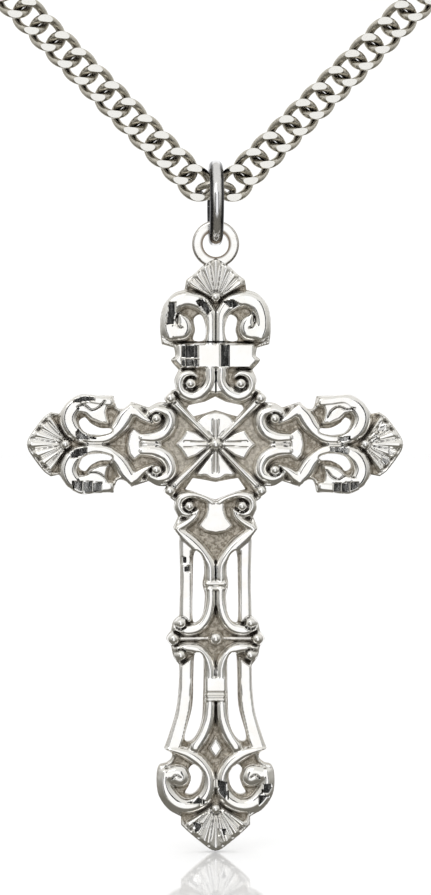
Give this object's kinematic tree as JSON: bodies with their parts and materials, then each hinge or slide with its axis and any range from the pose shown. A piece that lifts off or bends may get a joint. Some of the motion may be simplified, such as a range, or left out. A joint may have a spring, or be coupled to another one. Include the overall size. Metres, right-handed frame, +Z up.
{
  "type": "cross pendant necklace",
  "caption": "Ornate pierced cross pendant with a hanging loop, on a jump ring at the bottom of a V of curb chain that ends in a clasp and a tag.",
  "frame": {"origin": "halfway between the two ends of the chain, at the eye of the clasp and the eye of the tag", "axes": "+X across the cross, +Z up along the hanging cross, -Y is the front of the cross"},
  "size_m": [0.0539, 0.0074, 0.0836],
  "materials": {
    "antiqued_silver": "polished relief over darkened, sandy recesses",
    "chain_metal": "polished wire with ground flats",
    "jump_ring_metal": "mirror polished",
    "fitting_metal": "satin"
  },
  "bodies": {
    "chain_ends": {"clasp_body": "fitting_metal", "clasp_pin": "fitting_metal", "clasp_spring": "fitting_metal", "chain_tag": "fitting_metal"},
    "end_rings": {"left_end_ring": "fitting_metal", "right_end_ring": "fitting_metal"},
    "link_pair_13": {"left_link_13": "chain_metal", "right_link_13": "chain_metal"},
    "link_pair_12": {"left_link_12": "chain_metal", "right_link_12": "chain_metal"},
    "link_pair_11": {"left_link_11": "chain_metal", "right_link_11": "chain_metal"},
    "link_pair_10": {"left_link_10": "chain_metal", "right_link_10": "chain_metal"},
    "link_pair_09": {"left_link_09": "chain_metal", "right_link_09": "chain_metal"},
    "link_pair_08": {"left_link_08": "chain_metal", "right_link_08": "chain_metal"},
    "link_pair_07": {"left_link_07": "chain_metal", "right_link_07": "chain_metal"},
    "link_pair_06": {"left_link_06": "chain_metal", "right_link_06": "chain_metal"},
    "link_pair_05": {"left_link_05": "chain_metal", "right_link_05": "chain_metal"},
    "link_pair_04": {"left_link_04": "chain_metal", "right_link_04": "chain_metal"},
    "link_pair_03": {"left_link_03": "chain_metal", "right_link_03": "chain_metal"},
    "link_pair_02": {"left_link_02": "chain_metal", "right_link_02": "chain_metal"},
    "link_pair_01": {"left_link_01": "chain_metal", "right_link_01": "chain_metal"},
    "apex_link": {"apex_link": "chain_metal"},
    "jump_ring": {"jump_ring": "jump_ring_metal"},
    "cross": {"cross_casting": "antiqued_silver", "hanging_loop": "antiqued_silver"},
    "clasp_lever": {"clasp_lever": "fitting_metal"}
  },
  "joints": [
    {"name": "end_rings_hinge", "type": "hinge", "parent": "chain_ends", "child": "end_rings", "pos_m": [-0.02194, 0, -0.00024], "axis": [1, 0, 0], "range_deg": [-8, 8]},
    {"name": "link_pair_13_hinge", "type": "hinge", "parent": "end_rings", "child": "link_pair_13", "pos_m": [-0.01938, 0, -0.00281], "axis": [1, 0, 0], "range_deg": [-8, 8]},
    {"name": "link_pair_12_hinge", "type": "hinge", "parent": "link_pair_13", "child": "link_pair_12", "pos_m": [-0.01796, 0, -0.00422], "axis": [1, 0, 0], "range_deg": [-8, 8]},
    {"name": "link_pair_11_hinge", "type": "hinge", "parent": "link_pair_12", "child": "link_pair_11", "pos_m": [-0.01655, 0, -0.00564], "axis": [1, 0, 0], "range_deg": [-8, 8]},
    {"name": "link_pair_10_hinge", "type": "hinge", "parent": "link_pair_11", "child": "link_pair_10", "pos_m": [-0.01513, 0, -0.00705], "axis": [1, 0, 0], "range_deg": [-8, 8]},
    {"name": "link_pair_09_hinge", "type": "hinge", "parent": "link_pair_10", "child": "link_pair_09", "pos_m": [-0.01372, 0, -0.00846], "axis": [1, 0, 0], "range_deg": [-8, 8]},
    {"name": "link_pair_08_hinge", "type": "hinge", "parent": "link_pair_09", "child": "link_pair_08", "pos_m": [-0.01231, 0, -0.00988], "axis": [1, 0, 0], "range_deg": [-8, 8]},
    {"name": "link_pair_07_hinge", "type": "hinge", "parent": "link_pair_08", "child": "link_pair_07", "pos_m": [-0.01089, 0, -0.01129], "axis": [1, 0, 0], "range_deg": [-8, 8]},
    {"name": "link_pair_06_hinge", "type": "hinge", "parent": "link_pair_07", "child": "link_pair_06", "pos_m": [-0.00948, 0, -0.01271], "axis": [1, 0, 0], "range_deg": [-8, 8]},
    {"name": "link_pair_05_hinge", "type": "hinge", "parent": "link_pair_06", "child": "link_pair_05", "pos_m": [-0.00806, 0, -0.01412], "axis": [1, 0, 0], "range_deg": [-8, 8]},
    {"name": "link_pair_04_hinge", "type": "hinge", "parent": "link_pair_05", "child": "link_pair_04", "pos_m": [-0.00665, 0, -0.01554], "axis": [1, 0, 0], "range_deg": [-8, 8]},
    {"name": "link_pair_03_hinge", "type": "hinge", "parent": "link_pair_04", "child": "link_pair_03", "pos_m": [-0.00524, 0, -0.01695], "axis": [1, 0, 0], "range_deg": [-8, 8]},
    {"name": "link_pair_02_hinge", "type": "hinge", "parent": "link_pair_03", "child": "link_pair_02", "pos_m": [-0.00382, 0, -0.01836], "axis": [1, 0, 0], "range_deg": [-8, 8]},
    {"name": "link_pair_01_hinge", "type": "hinge", "parent": "link_pair_02", "child": "link_pair_01", "pos_m": [-0.00241, 0, -0.01978], "axis": [1, 0, 0], "range_deg": [-8, 8]},
    {"name": "apex_link_hinge", "type": "hinge", "parent": "link_pair_01", "child": "apex_link", "pos_m": [-0.00072, 0, -0.02128], "axis": [1, 0, 0], "range_deg": [-8, 8]},
    {"name": "jump_ring_hinge", "type": "hinge", "parent": "apex_link", "child": "jump_ring", "pos_m": [0, 0, -0.0211], "axis": [1, 0, 0], "range_deg": [-12, 12]},
    {"name": "cross_swing", "type": "hinge", "parent": "jump_ring", "child": "cross", "pos_m": [0, 0, -0.02528], "axis": [0, 1, 0], "range_deg": [-25, 25]},
    {"name": "clasp_lever_hinge", "type": "hinge", "parent": "chain_ends", "child": "clasp_lever", "pos_m": [-0.02452, 0, 0.00014], "axis": [0, 1, 0], "range_deg": [0, 24], "stiffness_Nm_per_rad": 0.001, "springref_deg": -11.46}
  ]
}
